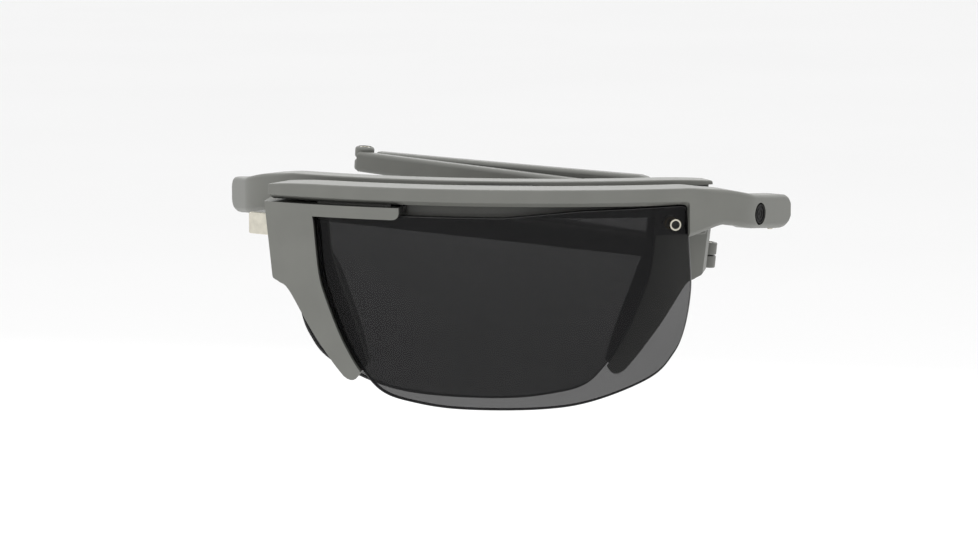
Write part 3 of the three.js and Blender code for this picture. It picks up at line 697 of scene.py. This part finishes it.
def rear_strap(half, count=30):
    """The rear segment without its knuckle, from its rounded tip."""
    end, tip = knuckle_at(half), half["temple"] - REAR["length"]
    thick, far, near, rise = TEMPLE["thick"], REAR["far"], REAR["near"], REAR["rise"]
    rings = []
    for x, lower, inset in ((0, 2.6, 0.35), (0.12, 2, 0.12), (0.4, 1.4, 0), (0.8, 0.9, 0), (1.5, 0.3, 0)):
        outer = rear_face(half, tip + x)
        rings.append(temple_ring(tip + x, outer - thick, outer, far - lower, rise - 0.05, inset=inset))
    body_start, body_end = 2.6, end - 0.3
    for i in range(count + 1):
        t = i / count
        x = tip + body_start + (body_end - tip - body_start) * t
        outer = rear_face(half, x)
        rings.append(temple_ring(x, outer - thick, outer, far + (near - far) * t, rise * (1 - t)))
    return loft("temple", rings + closing_rings(end, -0.2 - thick, -0.2, near))


def temple_rear(half):
    """The rear segment: the knuckle's lower lobe and the strap with the room for its grip."""
    z = half["knuckle"]
    to_knuckle = shift(half["temple"], 0, 0)
    lobe = disc(KNUCKLE["radius"], z - KNUCKLE["half"], z - PARTING, half["rim"])
    neck = block(knuckle_at(half) - 1, half["temple"], -1.7, -0.3, z - 1.9, z - 0.12)
    body = rear_strap(half)
    join(body, soften(neck, EDGE["knuckle"]))
    join(body, moved(lobe, to_knuckle))
    cut(body, moved(pin_bore(), to_knuckle))
    return cut(body, grip(half, GAP, 1))


def grip(half, grow=0, behind=0, count=20):
    """The rubber strip in the rear segment's inner side, or the room for it where grow is over 0."""
    tip = half["temple"] - REAR["length"]
    rings = []
    x0, x1 = tip + 5 - grow, tip + 32 + grow
    for i in range(count + 1):
        x = x0 + (x1 - x0) * i / count
        face = rear_face(half, x) - TEMPLE["thick"]
        centre = REAR["rise"] * (1 - (x - tip) / REAR["length"])
        inset = 0.2 if i in (0, count) and grow == 0 else 0
        y0, y1 = face - 0.3 - behind, face + 0.5 + grow
        rings.append(temple_ring(x, y0, y1, 2.6 + 2 * grow, centre, 0.25, inset))
    return loft("grip", rings)


def pin(length, x, top):
    """A hinge's screw, with its head's top at a height."""
    return moved(screw(PIN["head"], PIN["head_height"], PIN["shaft"], length), shift(x, 0, top))


def hinge_screw():
    return pin(5.2, 0, 2.9)


def knuckle_screw(half):
    return pin(2 * KNUCKLE["half"] - 0.3, half["temple"], half["knuckle"] + KNUCKLE["half"] - 0.1)


# ---- camera and stage ----
CAMERA = {"azimuth": 6.4, "elevation": 7.9, "distance": 0.6, "lens": 132.5,
          "target": (0, -3.3 * MM, -14.26 * MM)}
FLOOR_DROP = 0.16  # from the object's lowest point to the floor


def add_camera():
    data = bpy.data.cameras.new("camera")
    data.lens = CAMERA["lens"]
    data.sensor_width = 36
    data.clip_start = 0.01
    camera = bpy.data.objects.new("camera", data)
    bpy.context.scene.collection.objects.link(camera)
    a, e = math.radians(CAMERA["azimuth"]), math.radians(CAMERA["elevation"])
    back = Vector((math.sin(a) * math.cos(e), -math.cos(a) * math.cos(e), math.sin(e)))
    camera.location = Vector(CAMERA["target"]) + back * CAMERA["distance"]
    camera.rotation_euler = back.to_track_quat("Z", "Y").to_euler()
    bpy.context.scene.camera = camera


def add_light(name, location, target, size, power):
    data = bpy.data.lights.new(name, "AREA")
    data.shape = "RECTANGLE"
    data.size, data.size_y = size
    data.energy = power
    light = bpy.data.objects.new(name, data)
    bpy.context.scene.collection.objects.link(light)
    light.location = location
    light.rotation_euler = (Vector(location) - Vector(target)).to_track_quat("Z", "Y").to_euler()
    return light


def add_stage():
    world = bpy.data.worlds.new("studio")
    bpy.context.scene.world = world
    world.use_nodes = True
    background = world.node_tree.nodes["Background"]
    background.inputs["Color"].default_value = (1, 1, 1, 1)
    background.inputs["Strength"].default_value = 1.0
    lowest = cad_box[0][2]
    bpy.ops.mesh.primitive_plane_add(size=8, location=(0, 0, lowest - FLOOR_DROP))
    floor = bpy.context.object
    floor.name = "floor"
    floor.data.materials.append(floor_paint())
    target = (0, 0, -0.01)
    add_light("top", (0, 0.1, 0.8), target, (0.9, 0.7), 3.0)
    add_light("key", (-0.5, -0.5, 0.45), target, (0.4, 0.4), 0.6)
    add_light("back", (0.1, 0.85, 0.3), target, (1.4, 0.4), 2.5)


# ---- materials ----
def new_material(name):
    material = bpy.data.materials.new(name)
    material.use_nodes = True
    nodes = material.node_tree.nodes
    return material, nodes, material.node_tree.links, nodes["Principled BSDF"]


def noise(nodes, links, scale, detail=3.0, roughness=0.5):
    coordinates = nodes.new("ShaderNodeTexCoord")
    texture = nodes.new("ShaderNodeTexNoise")
    texture.inputs["Scale"].default_value = scale
    texture.inputs["Detail"].default_value = detail
    texture.inputs["Roughness"].default_value = roughness
    links.new(coordinates.outputs["Object"], texture.inputs["Vector"])
    return texture.outputs["Fac"]


def ramp(nodes, links, factor, stops):
    """A colour ramp from (position, colour) stops."""
    made = nodes.new("ShaderNodeValToRGB")
    elements = made.color_ramp.elements
    while len(elements) < len(stops):
        elements.new(0.5)
    for element, (position, colour) in zip(elements, stops):
        element.position = position
        element.color = (*colour, 1)
    links.new(factor, made.inputs["Fac"])
    return made.outputs["Color"]


def spread(nodes, links, factor, low, high):
    """Maps a 0 to 1 factor to a range."""
    made = nodes.new("ShaderNodeMapRange")
    made.inputs["To Min"].default_value = low
    made.inputs["To Max"].default_value = high
    links.new(factor, made.inputs["Value"])
    return made.outputs["Result"]


def bump(nodes, links, shader, height, distance, strength):
    made = nodes.new("ShaderNodeBump")
    made.inputs["Strength"].default_value = strength
    made.inputs["Distance"].default_value = distance
    links.new(height, made.inputs["Height"])
    links.new(made.outputs["Normal"], shader.inputs["Normal"])


def shade(colour, factor):
    return tuple(c * factor for c in colour)


def painted_hollow_shade(nodes, links, tone, reach=0.005, darkest=0.22):
    """A colour darkened by ambient occlusion in slots and corners: painted shade."""
    closeness = nodes.new("ShaderNodeAmbientOcclusion")
    closeness.samples = 6
    closeness.inputs["Distance"].default_value = reach
    # painted shade: the darkest tone where the occlusion is strongest
    depth = ramp(nodes, links, closeness.outputs["AO"], [(0.25, (darkest,) * 3), (0.72, (1, 1, 1))])
    mix = nodes.new("ShaderNodeMix")
    mix.data_type = "RGBA"
    mix.blend_type = "MULTIPLY"
    mix.inputs["Factor"].default_value = 1.0
    # Every kind of value has sockets called A, B and Result. These three are the ones for colours.
    links.new(tone, mix.inputs[6])
    links.new(depth, mix.inputs[7])
    return mix.outputs[2]


def moulded_plastic(name, colour, roughness=0.5, gloss=0.5):
    """Matte nylon from a spark-eroded mould: a fine even grain, faint flow marks, and painted shade in the
    hollows.
    """
    material, nodes, links, shader = new_material(name)
    flow = noise(nodes, links, 160, detail=4)
    grain = noise(nodes, links, 5200, detail=2)
    tone = ramp(nodes, links, flow, [(0.3, shade(colour, 0.95)), (0.7, shade(colour, 1.05))])
    # The base colour carries painted shade in slots and corners.
    links.new(painted_hollow_shade(nodes, links, tone), shader.inputs["Base Color"])
    links.new(spread(nodes, links, flow, roughness - 0.06, roughness + 0.06), shader.inputs["Roughness"])
    bump(nodes, links, shader, grain, 0.00003, 0.35)
    shader.inputs["Specular IOR Level"].default_value = gloss
    return material


def rubber(name, colour):
    material, nodes, links, shader = new_material(name)
    cloud = noise(nodes, links, 240)
    grain = noise(nodes, links, 3800, detail=3)
    tone = ramp(nodes, links, cloud, [(0.3, shade(colour, 0.88)), (0.7, shade(colour, 1.1))])
    links.new(tone, shader.inputs["Base Color"])
    links.new(spread(nodes, links, cloud, 0.68, 0.85), shader.inputs["Roughness"])
    bump(nodes, links, shader, grain, 0.00005, 0.4)
    return material


def tinted_lens(name):
    """Polished neutral grey. Each face lets through about 33 to 40%, so one lens passes 11 to 16%."""
    material, nodes, links, shader = new_material(name)
    cloud = noise(nodes, links, 30, detail=1)
    tone = ramp(nodes, links, cloud, [(0, (0.004, 0.004, 0.0045)), (1, (0.006, 0.006, 0.0065))])
    links.new(tone, shader.inputs["Base Color"])
    coordinates = nodes.new("ShaderNodeTexCoord")
    axes = nodes.new("ShaderNodeSeparateXYZ")
    links.new(coordinates.outputs["Object"], axes.inputs["Vector"])
    fade = nodes.new("ShaderNodeMapRange")
    fade.inputs["From Min"].default_value = -37 * MM
    fade.inputs["From Max"].default_value = -6 * MM
    fade.inputs["To Min"].default_value = 0.67
    fade.inputs["To Max"].default_value = 0.6
    links.new(axes.outputs["Z"], fade.inputs["Value"])
    links.new(fade.outputs["Result"], shader.inputs["Alpha"])
    links.new(spread(nodes, links, cloud, 0.03, 0.06), shader.inputs["Roughness"])
    shader.inputs["Specular IOR Level"].default_value = 0.2
    return material


def turned_metal(name, colour, roughness, rings=2600):
    """Turned or plated metal with fine tool marks and slightly uneven gloss."""
    material, nodes, links, shader = new_material(name)
    cloud = noise(nodes, links, 900, detail=4)
    marks = noise(nodes, links, rings, detail=6, roughness=0.7)
    tone = ramp(nodes, links, cloud, [(0.25, shade(colour, 0.82)), (0.75, colour)])
    links.new(tone, shader.inputs["Base Color"])
    links.new(spread(nodes, links, marks, roughness - 0.08, roughness + 0.12), shader.inputs["Roughness"])
    bump(nodes, links, shader, marks, 0.00001, 0.4)
    shader.inputs["Metallic"].default_value = 1.0
    return material


def floor_paint():
    material, nodes, links, shader = new_material("floor_paint")
    cloud = noise(nodes, links, 3)
    tone = ramp(nodes, links, cloud, [(0, (0.9, 0.9, 0.9)), (1, (0.93, 0.93, 0.93))])
    links.new(tone, shader.inputs["Base Color"])
    shader.inputs["Roughness"].default_value = 0.9
    shader.inputs["Specular IOR Level"].default_value = 0.1
    return material


GREY = (0.15, 0.152, 0.138)
FINISHES = {
    "bar_plastic": lambda: moulded_plastic("bar_grey", GREY, 0.5),
    "bracket_plastic": lambda: moulded_plastic("bracket_grey", shade(GREY, 1.02), 0.55),
    "temple_plastic": lambda: moulded_plastic("temple_grey", shade(GREY, 0.9), 0.5),
    "pad_rubber": lambda: rubber("soft_grey_rubber", (0.09, 0.09, 0.085)),
    "tinted_lens": lambda: tinted_lens("neutral_tint"),
    "screw_steel": lambda: turned_metal("bright_steel", (0.6, 0.57, 0.48), 0.24),
    "insert_brass": lambda: turned_metal("turned_brass", (0.62, 0.46, 0.2), 0.3),
    "tongue_nickel": lambda: turned_metal("satin_nickel", (0.7, 0.67, 0.58), 0.42, rings=1500),
    "slide_nylon": lambda: moulded_plastic("black_nylon", (0.02, 0.02, 0.02), 0.4),
    "badge_black": lambda: moulded_plastic("badge_black", (0.006, 0.006, 0.006), 0.45, gloss=0.12),
}
PAINT = {name: make() for name, make in FINISHES.items()}
# The second material of a piece: a lens's ground edge, and painted shade in a screw's recess.
SECOND_PAINT = {
    "tinted_lens": [moulded_plastic("ground_lens_rim", (0.012, 0.012, 0.012), 0.45)],
    # painted shade: a near-black material put in the screw's recess
    "screw_steel": [moulded_plastic("recess_painted_shade", (0.012, 0.012, 0.01), 0.8)],
}


# ---- assembly ----
RECORD = frame["record"]
SLOT_OF = {s["node"]: s["material_slot"] for s in RECORD["subparts"]}
BODY_OF = {node: body for body, nodes in RECORD["behaviour"]["bodies"].items() for node in nodes}


def shade_smooth(piece, angle=32):
    """Smooth shading with the sharp edges kept and the large faces flat."""
    for polygon in piece.data.polygons:
        polygon.use_smooth = True
    piece.data.set_sharp_from_angle(angle=math.radians(angle))
    even = piece.modifiers.new("even", "WEIGHTED_NORMAL")
    even.keep_sharp = True
    even.weight = 60


def clean(piece):
    """Joins doubled points and drops slivers that the cuts leave."""
    bm = bmesh.new()
    bm.from_mesh(piece.data)
    bmesh.ops.remove_doubles(bm, verts=bm.verts, dist=0.004)
    bmesh.ops.dissolve_degenerate(bm, edges=bm.edges, dist=0.002)
    bm.to_mesh(piece.data)
    bm.free()


def add(node, piece, matrix):
    """Places a finished piece, drawn in millimetres, in the frame, where it stands for a CAD node."""
    clean(piece)
    moved(piece, Matrix.Scale(MM, 4) @ matrix)
    piece.name = node + "_fine"
    slot = SLOT_OF[node]
    paints = [PAINT[slot]] + SECOND_PAINT.get(slot, [])
    picks = [min(face.material_index, len(paints) - 1) for face in piece.data.polygons]
    piece.data.materials.clear()
    for paint in paints:
        piece.data.materials.append(paint)
    piece.data.polygons.foreach_set("material_index", picks)
    shade_smooth(piece)
    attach(piece, BODY_OF[node])
    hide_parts(node)
    return piece


def half_matrix(half):
    """From a half's own frame, with its arc's centre at the origin, to the object's."""
    turn = Matrix.Rotation(math.radians(half["turn"]), 4, "Z")
    return shift(0, CENTRE_Y, half["lift"]) @ turn @ Matrix.Diagonal((half["mirror"], 1, 1, 1))


def add_half(half):
    name = half["name"]
    place = half_matrix(half)
    fork, temple = hinge_frames(half)
    add(f"{name}_brow_bar", brow_bar(half), place)
    add(f"{name}_lens", lens(half), place)
    add(f"{name}_nose_bracket", nose_bracket(half), place)
    add(f"{name}_nose_pad", nose_pad(half), place)
    add(f"{name}_lens_screw", lens_screw(half), place)
    add(f"{name}_hinge_screw", hinge_screw(), place @ fork)
    add(f"{name}_temple_front", temple_front(half), place @ temple)
    add(f"{name}_temple_rear", temple_rear(half), place @ temple)
    add(f"{name}_temple_grip", grip(half), place @ temple)
    add(f"{name}_knuckle_screw", knuckle_screw(half), place @ temple)


def finish_node(node, slot):
    """A CAD node that keeps its shape: its sharp edges are rounded and its curves shaded smooth."""
    o = NODES[node]
    o.data.materials.clear()
    o.data.materials.append(PAINT[slot])
    weld = o.modifiers.new("weld", "WELD")
    weld.merge_threshold = 0.002 * MM
    flat = o.modifiers.new("flat", "DECIMATE")
    flat.decimate_type = "DISSOLVE"
    flat.angle_limit = math.radians(0.5)
    rounding = o.modifiers.new("rounding", "BEVEL")
    rounding.width = 0.08 * MM
    rounding.segments = 2
    rounding.limit_method = "ANGLE"
    rounding.angle_limit = math.radians(35)
    even = o.modifiers.new("even", "WEIGHTED_NORMAL")
    even.keep_sharp = False
    for polygon in o.data.polygons:
        polygon.use_smooth = True


add_camera()
for side in (LEFT, RIGHT):
    add_half(side)
add("left_badge", badge(), half_matrix(LEFT))
add("latch_tongue", tongue(), half_matrix(LEFT))
KEPT_NODES = ("bridge_carriage", "left_slide_shoe", "right_slide_shoe",
              "left_lens_insert", "right_lens_insert")
for kept in KEPT_NODES:
    finish_node(kept, SLOT_OF[kept])
add_stage()
bpy.context.scene.view_settings.view_transform = "Standard"
